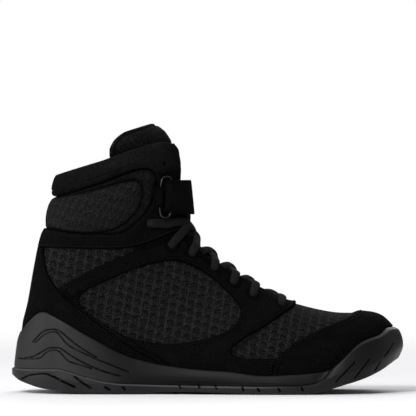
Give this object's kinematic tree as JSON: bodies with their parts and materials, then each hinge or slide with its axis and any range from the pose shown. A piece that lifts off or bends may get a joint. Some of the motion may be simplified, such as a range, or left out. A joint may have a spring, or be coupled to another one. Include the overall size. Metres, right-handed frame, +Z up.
{
  "type": "boxing shoe",
  "caption": "Right high-top boxing shoe with suede overlays on mesh, a padded ankle, laces, an ankle strap through a wire loop and a cupped rubber sole.",
  "frame": {"origin": "middle of the shoe's box, on the floor", "axes": "+X to the toe, -Y to the outer side of the foot, +Z up"},
  "size_m": [0.2972, 0.1012, 0.206],
  "materials": {
    "mesh": "matte woven",
    "midsole_rubber": "satin moulded",
    "outsole_rubber": "satin moulded",
    "lining": "matte",
    "suede": "napped",
    "cord": "matte woven",
    "webbing": "matte",
    "wire": "satin"
  },
  "bodies": {
    "root": {"upper": "mesh", "midsole": "midsole_rubber", "outsole": "outsole_rubber", "insole": "lining", "tongue": "lining", "toe_guard": "suede", "saddle": "suede", "heel_foxing": "suede", "collar_frame": "suede", "ankle_pad": "mesh", "lace_cross_1": "cord", "lace_cross_2": "cord", "lace_cross_3": "cord", "lace_cross_4": "cord", "lace_cross_5": "cord", "lace_bar": "cord", "strap": "webbing", "ring_tab": "webbing", "strap_ring": "wire"}
  },
  "joints": []
}
